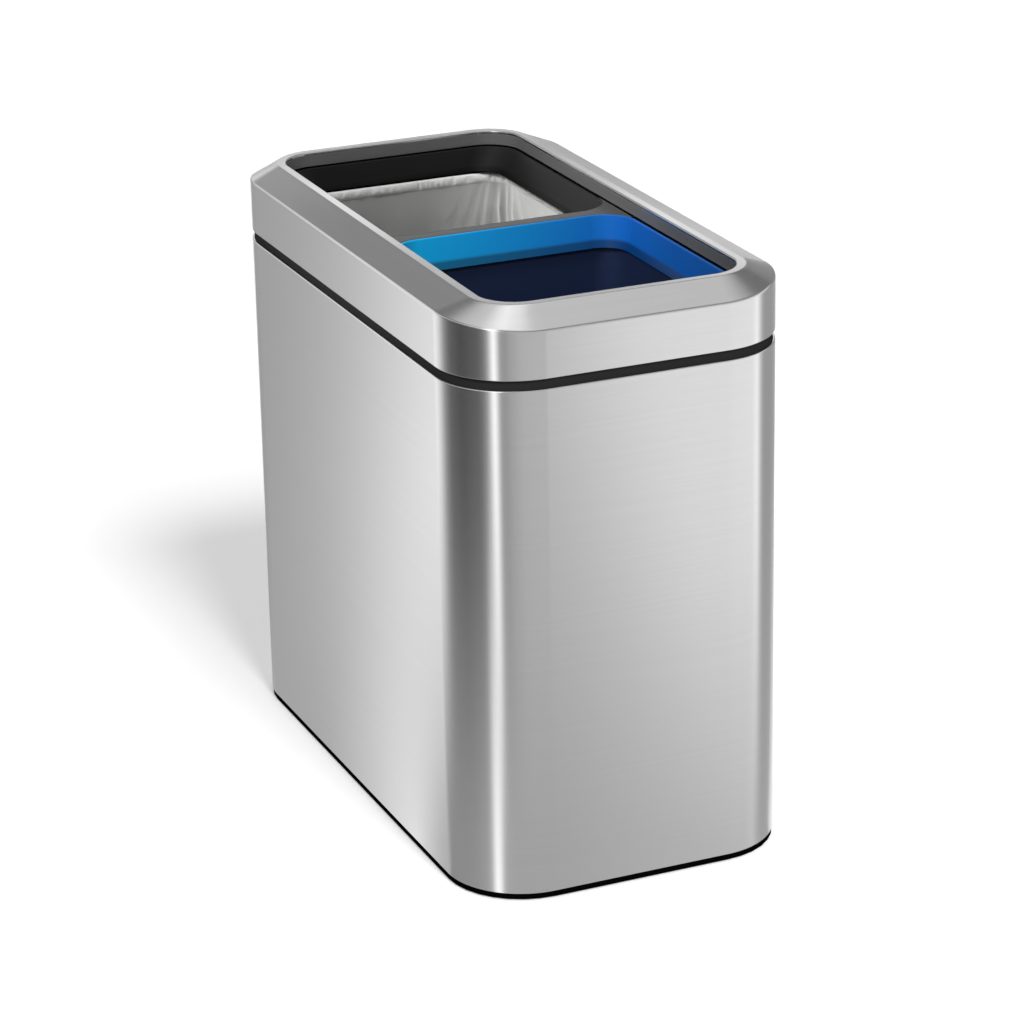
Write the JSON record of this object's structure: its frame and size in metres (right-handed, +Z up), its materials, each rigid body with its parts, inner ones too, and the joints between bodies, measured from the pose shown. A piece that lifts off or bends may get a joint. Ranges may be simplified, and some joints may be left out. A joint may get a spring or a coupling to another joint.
{
  "type": "double recycling bin",
  "caption": "Slim open-top waste bin with a brushed steel body and lift-off rim over side-by-side lift-out buckets for landfill and recycling, each under a funnel ring.",
  "frame": {"origin": "on the floor, under the middle of the body", "axes": "+Z up, +Y along the length towards the landfill compartment, X across the narrow width"},
  "size_m": [0.25, 0.47, 0.431],
  "materials": {
    "steel": "fine satin brushing",
    "base_plastic": "black, fine texture",
    "collar_plastic": "dark grey, satin",
    "liner_plastic": "dark grey, satin",
    "charcoal_plastic": "charcoal, satin",
    "blue_plastic": "bright blue, satin",
    "grey_plastic": "dark grey, satin",
    "navy_plastic": "navy, satin",
    "white_film": "translucent white film",
    "zinc_steel": "zinc plated",
    "rubber": "matt black"
  },
  "bodies": {
    "bin_body": {"body_shell": "steel", "base_tray": "base_plastic", "top_collar": "collar_plastic", "foot_1": "rubber", "foot_2": "rubber", "foot_3": "rubber", "foot_4": "rubber", "base_screw_1": "zinc_steel", "base_screw_2": "zinc_steel", "base_screw_3": "zinc_steel", "base_screw_4": "zinc_steel", "base_screw_5": "zinc_steel", "base_screw_6": "zinc_steel"},
    "rim": {"rim_skin": "steel", "rim_liner": "liner_plastic"},
    "landfill_unit": {"landfill_bucket": "grey_plastic", "landfill_bag": "white_film"},
    "landfill_funnel": {"landfill_ring": "charcoal_plastic"},
    "recycling_unit": {"recycling_bucket": "navy_plastic"},
    "recycling_funnel": {"recycling_ring": "blue_plastic"}
  },
  "joints": [
    {"name": "rim_lift", "type": "slide", "parent": "bin_body", "child": "rim", "axis": [0, 0, 1], "range_m": [0, 0.12]},
    {"name": "landfill_bucket_lift", "type": "slide", "parent": "bin_body", "child": "landfill_unit", "axis": [0, 0, 1], "range_m": [0, 0.44]},
    {"name": "landfill_ring_lift", "type": "slide", "parent": "landfill_unit", "child": "landfill_funnel", "axis": [0, 0, 1], "range_m": [0, 0.08]},
    {"name": "recycling_bucket_lift", "type": "slide", "parent": "bin_body", "child": "recycling_unit", "axis": [0, 0, 1], "range_m": [0, 0.44]},
    {"name": "recycling_ring_lift", "type": "slide", "parent": "recycling_unit", "child": "recycling_funnel", "axis": [0, 0, 1], "range_m": [0, 0.08]}
  ]
}
